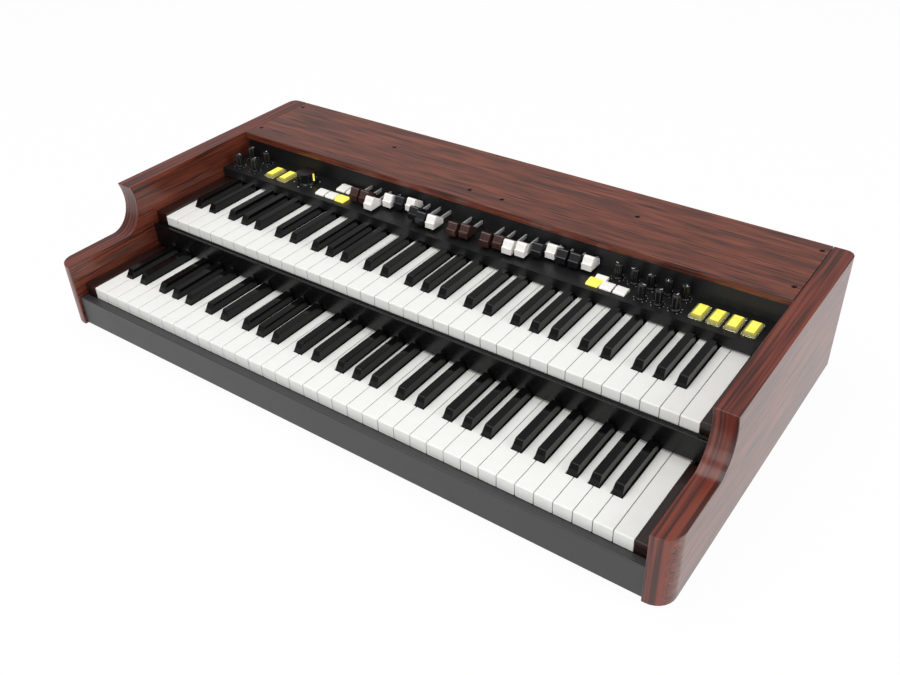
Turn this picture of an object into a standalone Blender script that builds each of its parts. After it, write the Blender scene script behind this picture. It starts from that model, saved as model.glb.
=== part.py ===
# Two-manual drawbar organ with waterfall keys, wooden cheeks and a wooden top.
# Metres, +Z up, the player sits on the -Y side. The origin lies on the floor, under the middle of the case.

import math

import bmesh
import bpy
from mathutils import Vector

# Driving dimensions: keys
KEY_PITCH = 0.0235
WHITE_KEY_COUNT = 36
KEY_GAP = 0.0010
KEY_LENGTH = 0.2120
KEY_TAIL = 0.0080
KEY_SHANK_HEIGHT = 0.0090
WHITE_FRONT_HEIGHT = 0.0175
WHITE_SKIRT_HEIGHT = 0.0140
WHITE_LIP_RADIUS = 0.0014
WHITE_WALL = 0.0018
BLACK_FRONT = 0.0453
BLACK_REAR = 0.1315
BLACK_WIDTH = 0.0128
BLACK_TOP_WIDTH = 0.0104
BLACK_HEIGHT = 0.0120
BLACK_SLOPE = 0.0072
BLACK_CLEARANCE = 0.0010

# Driving dimensions: key beds
BED_DROP = 0.0340
BED_SETBACK = 0.0034
BED_TAIL = 0.0140
DECK_THICKNESS = 0.0025
KEY_STOP = 0.0030
KEY_STOP_DEPTH = 0.0080
PIVOT_FOOT = 0.0090
PIVOT_CREST = 0.0015
LEG_THICKNESS = 0.0030
REAR_LEG_SETBACK = 0.0090
LOWER_LEG_PITCH = 0.0737
UPPER_LEG_PITCH = 0.0610

# Driving dimensions: case
CHEEK_THICKNESS = 0.0285
END_BLOCK_WIDTH = 0.0202
BODY_DEPTH = 0.5000
FIT_GAP = 0.0003
CHEEK_BOTTOM = 0.0060
BASE_UNDERSIDE = 0.0085
SHEET = 0.0020
ARM_HEIGHT = 0.0958
KEY_SETBACK = 0.0176
RAIL_SETBACK = 0.0034
LOWER_KEY_TOP = 0.0665
MANUAL_RISE = 0.0494
MANUAL_SETBACK = 0.1435
VISIBLE_UPPER_KEY = 0.1385
PANEL_RISE = 0.0178
PANEL_DEPTH = 0.0595
PANEL_LIP = 0.0152
STRIP_LEAN = 0.0060
TOP_RISE = 0.0379
TOP_THICKNESS = 0.0105
TOP_OVERHANG = 0.0020
FRONT_CORNER_RADIUS = 0.0240
REAR_CORNER_RADIUS = 0.0120
REAR_FOOT_RADIUS = 0.0080
VENT_COUNT = 5
VENT_WIDTH = 0.0050
VENT_LENGTH = 0.0500
VENT_PITCH = 0.0220
VENT_INSET = 0.0900
VENT_SETBACK = 0.0350
REAR_SETBACK = 0.0040
NOSE_REACH = 0.0084

# Driving dimensions: controls
DRAWBAR_PITCH = 0.0180
DRAWBAR_STEP = 0.0035
DRAWBAR_CAP_WIDTH = 0.0142
DRAWBAR_CAP_DEPTH = 0.0240
DRAWBAR_CAP_HEIGHT = 0.0172
DRAWBAR_CAP_LIFT = 0.0043
DRAWBAR_STEM_WIDTH = 0.0024
DRAWBAR_STEM_HEIGHT = 0.0050
DRAWBAR_STEM_LENGTH = 0.0700
DRAWBAR_STOP_GAP = 0.0010
STEM_SEAT = 0.0040
KNOB_DIAMETER = 0.0112
KNOB_HEIGHT = 0.0205
KNOB_PITCH = 0.0227
SELECTOR_DIAMETER = 0.0330
SELECTOR_HEIGHT = 0.0170
SHAFT_DIAMETER = 0.0060
SHAFT_REACH = 0.0120
SELECTOR_GAP = 0.0005
LIT_BUTTON_WIDTH = 0.0142
LIT_BUTTON_LENGTH = 0.0276
LIT_BUTTON_HEIGHT = 0.0058
LIT_BUTTON_EDGE = 0.0012
LIT_BUTTON_TRAVEL = 0.0020
BEZEL_WALL = 0.0016
BEZEL_HEIGHT = 0.0036
TAB_WIDTH = 0.0170
FOOT_DIAMETER = 0.0280
FOOT_TAPER = 0.86
FOOT_INSET_X = 0.0500
FOOT_INSET_Y = 0.0450

# Places on the control panel: x from the middle, y from the panel's front edge
DRAWBAR_SETTINGS = (5, 5, 8, 2, 1, 0, 5, 7, 7), (7, 6), (7, 6, 7, 6, 3, 1, 2, 2, 1)
DRAWBAR_NAMES = "upper", "pedal", "lower"
FRONT_KNOB_ROW = 0.0180
REAR_KNOB_ROW = 0.0455
LEFT_KNOB_COLUMNS = -0.4230, -0.3900
RIGHT_KNOB_START = 0.2280
LIT_BUTTON_ROW = 0.0266
LEFT_LIT_COLUMNS = -0.3545, -0.3285
RIGHT_LIT_COLUMNS = 0.3472, 0.3691, 0.3909, 0.4128
SELECTOR_PLACE = -0.2943, 0.0332
TAB_COLUMNS = 0.2095, 0.2285, 0.2475
FRONT_TAB_ROW = 0.0165
REAR_TAB_ROW = 0.0440

# Sizes that follow from the ones above
KEYBOARD_WIDTH = KEY_PITCH * WHITE_KEY_COUNT
INNER_WIDTH = KEYBOARD_WIDTH + 2 * (END_BLOCK_WIDTH + FIT_GAP)
OVERALL_WIDTH = INNER_WIDTH + 2 * CHEEK_THICKNESS
FRONT_Y = -BODY_DEPTH / 2
REAR_Y = BODY_DEPTH / 2
LOWER_KEY_Y = FRONT_Y + KEY_SETBACK
UPPER_KEY_Y = LOWER_KEY_Y + MANUAL_SETBACK
UPPER_KEY_TOP = LOWER_KEY_TOP + MANUAL_RISE
PANEL_Y = UPPER_KEY_Y + VISIBLE_UPPER_KEY
PANEL_TOP = UPPER_KEY_TOP + PANEL_RISE
STRIP_Y = PANEL_Y + PANEL_DEPTH
CASE_TOP = PANEL_TOP + TOP_RISE
TOP_UNDERSIDE = CASE_TOP - TOP_THICKNESS
TOP_FRONT_Y = STRIP_Y - TOP_OVERHANG
PAN_FLOOR = BASE_UNDERSIDE + SHEET
DECK_TOP = LOWER_KEY_TOP - BED_DROP
UPPER_DECK_TOP = DECK_TOP + MANUAL_RISE
MIDDLE_RAIL_Y = UPPER_KEY_Y - 0.0095
STEM_MIDDLE = PANEL_TOP + DRAWBAR_CAP_LIFT + 0.0032

# One octave from C: the white keys' order and where each black key stands between them
OCTAVE = "c", "cs", "d", "ds", "e", "f", "fs", "g", "gs", "a", "as", "b"
WHITE_NOTES = [note for note in OCTAVE if len(note) == 1]
BLACK_SHIFT = {"cs": -0.0029, "ds": 0.0029, "fs": -0.0034, "gs": 0.0, "as": 0.0034}
PLAYED_OCTAVE = 4

parts = bpy.data.collections.new("drawbar_organ")
cutters = bpy.data.collections.new("cutters")


def clear_scene():
    for old in list(bpy.data.objects):
        bpy.data.objects.remove(old, do_unlink=True)
    bpy.context.scene.collection.children.link(parts)
    bpy.context.scene.collection.children.link(cutters)


def material(name, color, roughness, metallic=0.0):
    found = bpy.data.materials.get(name)
    if found:
        return found
    made = bpy.data.materials.new(name)
    made.use_nodes = True
    shader = made.node_tree.nodes["Principled BSDF"]
    shader.inputs["Base Color"].default_value = (*color, 1.0)
    shader.inputs["Roughness"].default_value = roughness
    shader.inputs["Metallic"].default_value = metallic
    return made


def stained_wood():
    return material("stained_wood", (0.165, 0.043, 0.022), 0.45)


def black_paint():
    return material("black_paint", (0.012, 0.012, 0.013), 0.38)


def ivory_plastic():
    return material("ivory_plastic", (0.86, 0.85, 0.81), 0.28)


def ebony_plastic():
    return material("ebony_plastic", (0.010, 0.010, 0.011), 0.20)


# A mesh made from a bmesh, at a place, in the part's collection
def part_from_mesh(name, mesh, finish, place=(0.0, 0.0, 0.0)):
    made = bpy.data.objects.new(name, mesh)
    made.location = place
    mesh.materials.clear()
    mesh.materials.append(finish)
    parts.objects.link(made)
    return made


def cutter_from_mesh(name, mesh, place=(0.0, 0.0, 0.0)):
    made = bpy.data.objects.new(name, mesh)
    made.location = place
    made.hide_render = True
    made.display_type = "WIRE"
    cutters.objects.link(made)
    return made


def box_mesh(name, low, high):
    build = bmesh.new()
    bmesh.ops.create_cube(build, size=1.0)
    size = [b - a for a, b in zip(low, high)]
    middle = [(a + b) / 2 for a, b in zip(low, high)]
    bmesh.ops.scale(build, vec=size, verts=build.verts)
    bmesh.ops.translate(build, vec=middle, verts=build.verts)
    mesh = bpy.data.meshes.new(name)
    build.to_mesh(mesh)
    build.free()
    return mesh


# A closed flat outline, drawn as a face and extruded along one axis
def prism_mesh(name, outline, start, end, across="x"):
    build = bmesh.new()
    corners = [build.verts.new((u, v, start)) for u, v in outline]
    face = build.faces.new(corners)
    grown = bmesh.ops.extrude_face_region(build, geom=[face])["geom"]
    far = [item for item in grown if isinstance(item, bmesh.types.BMVert)]
    bmesh.ops.translate(build, vec=(0.0, 0.0, end - start), verts=far)
    for vert in build.verts:
        u, v, w = vert.co
        if across == "x":
            vert.co = (w, u, v)
        elif across == "y":
            vert.co = (u, w, v)
    build.normal_update()
    bmesh.ops.recalc_face_normals(build, faces=build.faces)
    mesh = bpy.data.meshes.new(name)
    build.to_mesh(mesh)
    build.free()
    return mesh


def cylinder_mesh(name, radius, low, high, middle, sides=16, top_radius=None):
    build = bmesh.new()
    bmesh.ops.create_cone(build, cap_ends=True, segments=sides, radius1=radius,
                          radius2=radius if top_radius is None else top_radius, depth=high - low)
    bmesh.ops.translate(build, vec=(middle[0], middle[1], (low + high) / 2), verts=build.verts)
    mesh = bpy.data.meshes.new(name)
    build.to_mesh(mesh)
    build.free()
    return mesh


# Lays a cylinder along Y, for bores and sockets in the back
def lay_along_y(mesh, x, y, z):
    for vert in mesh.vertices:
        a, b, c = vert.co
        vert.co = (a + x, c + y, z - b)
    return mesh


def joined_mesh(name, meshes, moves=None):
    build = bmesh.new()
    for index, mesh in enumerate(meshes):
        first = len(build.verts)
        build.from_mesh(mesh)
        build.verts.ensure_lookup_table()
        if moves:
            bmesh.ops.translate(build, vec=moves[index], verts=build.verts[first:])
    mesh = bpy.data.meshes.new(name)
    build.to_mesh(mesh)
    build.free()
    return mesh


def add_boolean(target, tool, operation):
    change = target.modifiers.new(operation.lower(), "BOOLEAN")
    change.operation = operation
    change.solver = "EXACT"
    change.object = tool
    return change


# A cutter's shape is drawn about the same origin as the piece that it changes
def cut_away(target, name, meshes):
    add_boolean(target, cutter_from_mesh(name, joined_mesh(name, meshes), target.location), "DIFFERENCE")


def fuse_on(target, name, meshes):
    add_boolean(target, cutter_from_mesh(name, joined_mesh(name, meshes), target.location), "UNION")


def smooth_by_angle(thing, degrees=35.0):
    thing.data.shade_smooth()
    thing.data.set_sharp_from_angle(angle=math.radians(degrees))


# The mesh that an object's modifiers give, for shapes that are copied many times
def finished_mesh(thing):
    evaluated = thing.evaluated_get(bpy.context.evaluated_depsgraph_get())
    mesh = bpy.data.meshes.new_from_object(evaluated)
    mesh.name = thing.name + "_finished"
    return mesh


def arc(middle, radii, start, end, steps):
    points = []
    for step in range(steps + 1):
        angle = math.radians(start + (end - start) * step / steps)
        points.append((middle[0] + radii[0] * math.cos(angle), middle[1] + radii[1] * math.sin(angle)))
    return points


# Side view of a cheek: low arm, hollow curve, leaning nose, flat top, small radius at the rear foot
def cheek_outline():
    arm_top = CHEEK_BOTTOM + ARM_HEIGHT
    nose_y = UPPER_KEY_Y - 0.0349
    hollow_width = 0.0339
    hollow_y = nose_y + 0.0052
    hollow_top = arm_top + (CASE_TOP - arm_top) * 0.61
    points = [(FRONT_Y, CHEEK_BOTTOM), (FRONT_Y, arm_top)]
    points += arc((hollow_y - hollow_width, hollow_top), (hollow_width, hollow_top - arm_top), -90, 0, 10)
    for step in range(1, 5):
        share = step / 4
        points.append((hollow_y + (nose_y - hollow_y) * share ** 2, hollow_top + (CASE_TOP - hollow_top) * share))
    points.append((REAR_Y, CASE_TOP))
    points += arc((REAR_Y - REAR_FOOT_RADIUS, CHEEK_BOTTOM + REAR_FOOT_RADIUS),
                  (REAR_FOOT_RADIUS, REAR_FOOT_RADIUS), 0, -90, 4)
    return points


# Plan view of a cheek: the outer corners are rounded, the front one heavily
def cheek_plan(side):
    inner = INNER_WIDTH / 2 + FIT_GAP
    outer = OVERALL_WIDTH / 2
    front = FRONT_CORNER_RADIUS
    rear = REAR_CORNER_RADIUS
    points = [(inner, FRONT_Y)]
    points += arc((outer - front, FRONT_Y + front), (front, front), -90, 0, 7)
    points += arc((outer - rear, REAR_Y - rear), (rear, rear), 0, 90, 4)
    points.append((inner, REAR_Y))
    return [(x * side, y) for x, y in points]


def build_cheek(name, side):
    low = min(side * INNER_WIDTH / 2, side * OVERALL_WIDTH / 2) - 0.001
    high = max(side * INNER_WIDTH / 2, side * OVERALL_WIDTH / 2) + 0.001
    cheek = part_from_mesh(name, prism_mesh(name, cheek_outline(), low, high), stained_wood())
    plan = prism_mesh(name + "_plan", cheek_plan(side), CHEEK_BOTTOM - 0.001, CASE_TOP + 0.001, "z")
    add_boolean(cheek, cutter_from_mesh(name + "_plan", plan), "INTERSECT")


# A sheet folded along X: its inner line is the outer line moved inwards by the sheet's thickness
def folded_sheet(outer, thickness):
    inner = []
    for index, point in enumerate(outer):
        before = Vector(outer[index - 1]) if index else None
        here = Vector(point)
        after = Vector(outer[index + 1]) if index + 1 < len(outer) else None
        sides = []
        if before is not None:
            run = (here - before).normalized()
            sides.append(Vector((run.y, -run.x)))
        if after is not None:
            run = (after - here).normalized()
            sides.append(Vector((run.y, -run.x)))
        if len(sides) == 2:
            middle = (sides[0] + sides[1]).normalized()
            inner.append(tuple(here + middle * (thickness / middle.dot(sides[0]))))
        else:
            inner.append(tuple(here + sides[0] * thickness))
    return list(outer) + inner[::-1]


def across_width(gap=FIT_GAP):
    half = INNER_WIDTH / 2 - gap
    return -half, half


def build_base_pan():
    outer = [(FRONT_Y + RAIL_SETBACK + SHEET + FIT_GAP, PAN_FLOOR + 0.022),
             (FRONT_Y + RAIL_SETBACK + SHEET + FIT_GAP, BASE_UNDERSIDE),
             (REAR_Y - REAR_SETBACK - SHEET - FIT_GAP, BASE_UNDERSIDE),
             (REAR_Y - REAR_SETBACK - SHEET - FIT_GAP, PAN_FLOOR + 0.026)]
    outline = folded_sheet([(y, z) for y, z in outer[::-1]], SHEET)
    pan = part_from_mesh("base_pan", prism_mesh("base_pan", outline, *across_width()), black_paint())
    slots = []
    for side in (-1, 1):
        for index in range(VENT_COUNT):
            x = side * (INNER_WIDTH / 2 - VENT_INSET - VENT_PITCH * index)
            slots.append(box_mesh("vent", (x - VENT_WIDTH / 2, REAR_Y - VENT_SETBACK - VENT_LENGTH, 0.0),
                                  (x + VENT_WIDTH / 2, REAR_Y - VENT_SETBACK, PAN_FLOOR + 0.005)))
    cut_away(pan, "pan_vents", slots)


def build_front_rail():
    face = FRONT_Y + RAIL_SETBACK
    top = LOWER_KEY_TOP - 0.0150
    back = LOWER_KEY_Y - 0.0012
    outline = [(face, BASE_UNDERSIDE), (face, top - 0.0008), (face + 0.0008, top), (face + 0.0026, top),
               (face + 0.0034, top - 0.0016), (back, top - 0.0016), (back, top - 0.0016 - SHEET),
               (face + SHEET, top - 0.0016 - SHEET), (face + SHEET, BASE_UNDERSIDE)]
    part_from_mesh("front_rail", prism_mesh("front_rail", outline, *across_width()), black_paint())


def build_middle_rail():
    face = MIDDLE_RAIL_Y
    top = UPPER_KEY_TOP - 0.0136
    bottom = LOWER_KEY_TOP + 0.0035
    back = UPPER_KEY_Y - 0.0010
    outline = [(face, bottom), (face, top - 0.0006), (face + 0.0006, top), (face + 0.0020, top),
               (face + 0.0024, top - 0.0016), (back - 0.0018, top - 0.0016), (back - 0.0014, top),
               (back, top), (back, top - 0.0016 - SHEET), (face + SHEET, top - 0.0016 - SHEET),
               (face + SHEET, bottom + SHEET), (face + 0.0060, bottom + SHEET), (face + 0.0060, bottom)]
    part_from_mesh("middle_rail", prism_mesh("middle_rail", outline, *across_width()),
                   material("gloss_black_panel", (0.006, 0.006, 0.007), 0.12))


def wood_top_outline():
    return [(TOP_FRONT_Y, TOP_UNDERSIDE), (TOP_FRONT_Y, CASE_TOP - 0.0010), (TOP_FRONT_Y + 0.0010, CASE_TOP),
            (REAR_Y - 0.0010, CASE_TOP), (REAR_Y, CASE_TOP - 0.0010), (REAR_Y, TOP_UNDERSIDE)]


def build_wood_top():
    part_from_mesh("wood_top", prism_mesh("wood_top", wood_top_outline(), *across_width()), stained_wood())


# The key bed stands on the base pan on its folded legs and carries a deck, a front stop and the pivot ridge
def keybed_outline(key_y, deck, leg_places, foot):
    start = key_y + BED_SETBACK
    pivot = key_y + KEY_LENGTH
    end = pivot + BED_TAIL
    ridge = deck + BED_DROP - KEY_SHANK_HEIGHT
    under = deck - DECK_THICKNESS
    points = [(start, foot if leg_places[0] == start else under)]
    points += [(start, deck + KEY_STOP), (start + KEY_STOP_DEPTH, deck + KEY_STOP), (start + KEY_STOP_DEPTH, deck)]
    points += [(pivot - PIVOT_FOOT, deck), (pivot - PIVOT_CREST, ridge), (pivot + PIVOT_CREST, ridge)]
    points += [(pivot + PIVOT_FOOT, deck), (end, deck), (end, under)]
    for leg in sorted(leg_places, reverse=True):
        points += [(leg + LEG_THICKNESS, under), (leg + LEG_THICKNESS, foot)]
        if leg > start:
            points += [(leg, foot), (leg, under)]
    return points


# White and black keys, drawn with the key's front middle at x = 0, y = 0 and the white keys' tops at z = 0
def white_side(height, skirt):
    lip = WHITE_LIP_RADIUS
    points = [(0.0, -WHITE_FRONT_HEIGHT), (0.0, -lip), (lip * 0.3, -lip * 0.3), (lip, 0.0),
              (KEY_LENGTH + KEY_TAIL, 0.0), (KEY_LENGTH + KEY_TAIL, -height)]
    if skirt > height:
        points += [(KEY_LENGTH - 0.030, -height), (KEY_LENGTH - 0.050, -skirt)]
    return points + [(0.0040, -skirt), (0.0028, -WHITE_FRONT_HEIGHT)]


# How far a black key's slot reaches into a white key from its left and its right edge
def notch_widths(note):
    half = KEY_PITCH / 2
    if note == "top":
        return -half, half, False, False
    step = OCTAVE.index(note)
    left = right = 0.0
    if note not in ("c", "f"):
        left = BLACK_SHIFT[OCTAVE[step - 1]] + BLACK_WIDTH / 2 + BLACK_CLEARANCE
    if note not in ("e", "b"):
        right = BLACK_WIDTH / 2 + BLACK_CLEARANCE - BLACK_SHIFT[OCTAVE[(step + 1) % 12]]
    return -half + left, half - right, left > 0, right > 0


def white_key_mesh(note, hollow):
    half = (KEY_PITCH - KEY_GAP) / 2
    height = KEY_SHANK_HEIGHT - FIT_GAP if hollow else KEY_SHANK_HEIGHT + FIT_GAP
    skirt = WHITE_SKIRT_HEIGHT if hollow else height
    side = white_side(height, skirt)
    key = bpy.data.objects.new("white_key_" + note, prism_mesh("white_key", side, -half, half))
    parts.objects.link(key)
    left, right, cut_left, cut_right = notch_widths(note)
    start = BLACK_FRONT - BLACK_CLEARANCE
    end = KEY_LENGTH + KEY_TAIL + 0.01
    slots = []
    if cut_left:
        slots.append(box_mesh("slot", (-half - 0.01, start, -0.03), (left, end, 0.01)))
    if cut_right:
        slots.append(box_mesh("slot", (right, start, -0.03), (half + 0.01, end, 0.01)))
    if slots:
        cut_away(key, "white_slots_" + note, slots)
    if hollow:
        roof = -WHITE_WALL * 1.4
        head = box_mesh("head", (-half + WHITE_WALL, 0.0040, -0.03), (half - WHITE_WALL, start - WHITE_WALL, roof))
        low = (left if cut_left else -half) + WHITE_WALL
        high = (right if cut_right else half) - WHITE_WALL
        tail = box_mesh("tail", (low, start, -0.03), (high, KEY_LENGTH - 0.052, roof))
        cut_away(key, "white_hollow_" + note, [head, tail])
    mesh = finished_mesh(key)
    tools = [change.object for change in key.modifiers]
    bpy.data.objects.remove(key, do_unlink=True)
    for tool in tools:
        bpy.data.objects.remove(tool, do_unlink=True)
    return mesh


def black_key_mesh():
    side = [(BLACK_FRONT, -0.0100), (BLACK_FRONT, 0.0012), (BLACK_FRONT + BLACK_SLOPE - 0.0016, BLACK_HEIGHT - 0.0012),
            (BLACK_FRONT + BLACK_SLOPE, BLACK_HEIGHT), (BLACK_REAR - 0.0008, BLACK_HEIGHT),
            (BLACK_REAR, BLACK_HEIGHT - 0.0008), (BLACK_REAR, -0.0012), (KEY_LENGTH + KEY_TAIL, -0.0012),
            (KEY_LENGTH + KEY_TAIL, -KEY_SHANK_HEIGHT + FIT_GAP), (BLACK_REAR, -KEY_SHANK_HEIGHT + FIT_GAP)]
    mesh = prism_mesh("black_key", side, -BLACK_WIDTH / 2, BLACK_WIDTH / 2)
    taper = (BLACK_TOP_WIDTH / BLACK_WIDTH - 1) / BLACK_HEIGHT
    for vert in mesh.vertices:
        if vert.co.z > 0:
            vert.co.x *= 1 + taper * vert.co.z
    return mesh


# Every key of a manual: note name, octave, middle of the key in x
def manual_keys():
    keys = []
    first = -KEYBOARD_WIDTH / 2 + KEY_PITCH / 2
    for index in range(WHITE_KEY_COUNT):
        last = index == WHITE_KEY_COUNT - 1
        note = WHITE_NOTES[index % 7]
        x = first + index * KEY_PITCH
        keys.append(("top" if last else note, index // 7, x))
        sharp = note + "s"
        if sharp in BLACK_SHIFT and not last:
            keys.append((sharp, index // 7, x + KEY_PITCH / 2 + BLACK_SHIFT[sharp]))
    return keys


def fixed_key_mesh(note, cache):
    if note not in cache:
        if note in BLACK_SHIFT:
            mesh = black_key_mesh()
            for vert in mesh.vertices:
                if vert.co.y > BLACK_REAR - 0.001 and vert.co.z < -0.005:
                    vert.co.z -= 2 * FIT_GAP
            cache[note] = mesh
        else:
            cache[note] = white_key_mesh(note, False)
    return cache[note]


# Keys that don't have a node of their own are one solid with the bed that carries their pivots
def build_keybed(name, key_y, deck, legs, foot, played):
    outline = keybed_outline(key_y, deck, legs, foot)
    bed = part_from_mesh(name, prism_mesh(name, outline, *across_width()), ivory_plastic())
    cache = {}
    meshes = []
    moves = []
    for note, octave, x in manual_keys():
        if played and octave == PLAYED_OCTAVE:
            continue
        meshes.append(fixed_key_mesh(note, cache))
        moves.append((x, key_y, deck + BED_DROP))
    joined = joined_mesh(name + "_keys", meshes, moves)
    add_boolean(bed, cutter_from_mesh(name + "_keys", joined), "UNION")


def build_played_keys():
    cache = {}
    for note, octave, x in manual_keys():
        if octave != PLAYED_OCTAVE or note == "top":
            continue
        black = note in BLACK_SHIFT
        if black and "black" not in cache:
            cache["black"] = black_key_mesh()
        if not black:
            cache[note] = white_key_mesh(note, True)
        mesh = cache["black" if black else note].copy()
        for vert in mesh.vertices:
            vert.co.y -= KEY_LENGTH
            vert.co.z += KEY_SHANK_HEIGHT
        finish = ebony_plastic() if black else ivory_plastic()
        place = (x, LOWER_KEY_Y + KEY_LENGTH, LOWER_KEY_TOP - KEY_SHANK_HEIGHT)
        part_from_mesh("key_" + note, mesh, finish, place)


def build_end_blocks():
    inner = KEYBOARD_WIDTH / 2
    outer = INNER_WIDTH / 2 - FIT_GAP
    finish = material("dark_block", (0.035, 0.014, 0.010), 0.5)
    levels = (("lower", LOWER_KEY_Y, MIDDLE_RAIL_Y - FIT_GAP, DECK_TOP, LOWER_KEY_TOP + 0.0005),
              ("upper", UPPER_KEY_Y, PANEL_Y - FIT_GAP, UPPER_DECK_TOP, UPPER_KEY_TOP + 0.0026))
    for level, front, back, deck, top in levels:
        for side, word in ((-1, "left"), (1, "right")):
            low = (min(side * inner, side * outer), front, deck + KEY_STOP + FIT_GAP)
            high = (max(side * inner, side * outer), back, top)
            name = "end_block_" + level + "_" + word
            part_from_mesh(name, box_mesh(name, low, high), finish)


# Fluted grip seen from above: the radius dips between the ribs
def fluted_outline(radius, ribs, depth, steps, middle):
    points = []
    total = ribs * steps
    for index in range(total):
        angle = 2 * math.pi * index / total
        dip = depth * (0.5 - 0.5 * math.cos(2 * math.pi * (index % steps) / steps))
        points.append((middle[0] + (radius - dip) * math.cos(angle), middle[1] + (radius - dip) * math.sin(angle)))
    return points


def small_knob_places():
    places = [(x, PANEL_Y + row) for x in LEFT_KNOB_COLUMNS for row in (FRONT_KNOB_ROW, REAR_KNOB_ROW)]
    places += [(RIGHT_KNOB_START + KNOB_PITCH * step, PANEL_Y + REAR_KNOB_ROW) for step in range(5)]
    places += [(RIGHT_KNOB_START + KNOB_PITCH * step, PANEL_Y + FRONT_KNOB_ROW) for step in (2, 3, 4)]
    return places


def lit_button_places():
    return [(x, PANEL_Y + LIT_BUTTON_ROW) for x in LEFT_LIT_COLUMNS + RIGHT_LIT_COLUMNS]


def tab_places():
    places = [(side * x, PANEL_Y + FRONT_TAB_ROW) for side in (-1, 1) for x in TAB_COLUMNS]
    places += [(-x, PANEL_Y + REAR_TAB_ROW) for x in TAB_COLUMNS[:2]]
    return places


def tab_mesh(x, y):
    side = [(y - 0.0082, PANEL_TOP - 0.0005), (y - 0.0080, PANEL_TOP + 0.0020), (y - 0.0066, PANEL_TOP + 0.0034),
            (y + 0.0040, PANEL_TOP + 0.0050), (y + 0.0076, PANEL_TOP + 0.0040), (y + 0.0082, PANEL_TOP - 0.0005)]
    return prism_mesh("tab", side, x - TAB_WIDTH / 2, x + TAB_WIDTH / 2)


def drawbar_places():
    total = sum(len(group) for group in DRAWBAR_SETTINGS) + len(DRAWBAR_SETTINGS) - 1
    x = -DRAWBAR_PITCH * (total - 1) / 2
    places = []
    for name, group in zip(DRAWBAR_NAMES, DRAWBAR_SETTINGS):
        for number, setting in enumerate(group, 1):
            places.append(("drawbar_%s_%d" % (name, number), x, setting))
            x += DRAWBAR_PITCH
        x += DRAWBAR_PITCH
    return places


def strip_y(z):
    return STRIP_Y + STRIP_LEAN * (z - PANEL_TOP) / (TOP_UNDERSIDE - PANEL_TOP)


# One folded sheet: lip, flat panel and the strip that leans back up to the wooden top
def build_control_panel():
    outer = [(PANEL_Y + 0.0120, PANEL_TOP - PANEL_LIP), (PANEL_Y, PANEL_TOP - PANEL_LIP), (PANEL_Y, PANEL_TOP),
             (STRIP_Y, PANEL_TOP), (STRIP_Y + STRIP_LEAN, TOP_UNDERSIDE - FIT_GAP)]
    panel = part_from_mesh("control_panel", prism_mesh("control_panel", folded_sheet(outer, SHEET), *across_width()),
                           material("satin_black_panel", (0.014, 0.014, 0.015), 0.34))
    raised = []
    for x, y in lit_button_places():
        half_x = LIT_BUTTON_WIDTH / 2 + FIT_GAP + BEZEL_WALL
        half_y = LIT_BUTTON_LENGTH / 2 + FIT_GAP + BEZEL_WALL
        raised.append(box_mesh("bezel", (x - half_x, y - half_y, PANEL_TOP - 0.0010),
                               (x + half_x, y + half_y, PANEL_TOP + BEZEL_HEIGHT)))
    for x, y in small_knob_places():
        outline = fluted_outline(KNOB_DIAMETER / 2, 10, 0.0006, 2, (x, y))
        raised.append(prism_mesh("knob", outline, PANEL_TOP - 0.0010, PANEL_TOP + KNOB_HEIGHT, "z"))
    raised += [tab_mesh(x, y) for x, y in tab_places()]
    fuse_on(panel, "panel_fittings", raised)
    holes = []
    for x, y in lit_button_places():
        half_x = LIT_BUTTON_WIDTH / 2 + FIT_GAP
        half_y = LIT_BUTTON_LENGTH / 2 + FIT_GAP
        holes.append(box_mesh("well", (x - half_x, y - half_y, PANEL_TOP - 0.01),
                              (x + half_x, y + half_y, PANEL_TOP + 0.01)))
    for name, x, setting in drawbar_places():
        half_x = DRAWBAR_STEM_WIDTH / 2 + 0.0006
        half_z = DRAWBAR_STEM_HEIGHT / 2 + 0.0006
        holes.append(box_mesh("slot", (x - half_x, STRIP_Y - 0.004, STEM_MIDDLE - half_z),
                              (x + half_x, STRIP_Y + 0.012, STEM_MIDDLE + half_z)))
    hole = SHAFT_DIAMETER / 2 + FIT_GAP
    x, y = SELECTOR_PLACE
    holes.append(cylinder_mesh("shaft_hole", hole, PANEL_TOP - 0.01, PANEL_TOP + 0.01, (x, PANEL_Y + y)))
    cut_away(panel, "panel_holes", holes)


# Cap seen from its side: upright lower face with a ridge, sloping face, crest, and a back that falls away
def drawbar_cap_outline(front, bottom):
    depth = DRAWBAR_CAP_DEPTH
    height = DRAWBAR_CAP_HEIGHT
    shape = ((0.0, 0.0), (0.0, 0.50), (0.04, 0.545), (0.09, 0.52), (0.12, 0.60), (0.26, 0.95), (0.33, 1.0),
             (0.42, 0.985), (0.96, 0.50), (1.0, 0.44), (1.0, 0.0))
    return [(front + depth * along, bottom + height * up) for along, up in shape]


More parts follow.
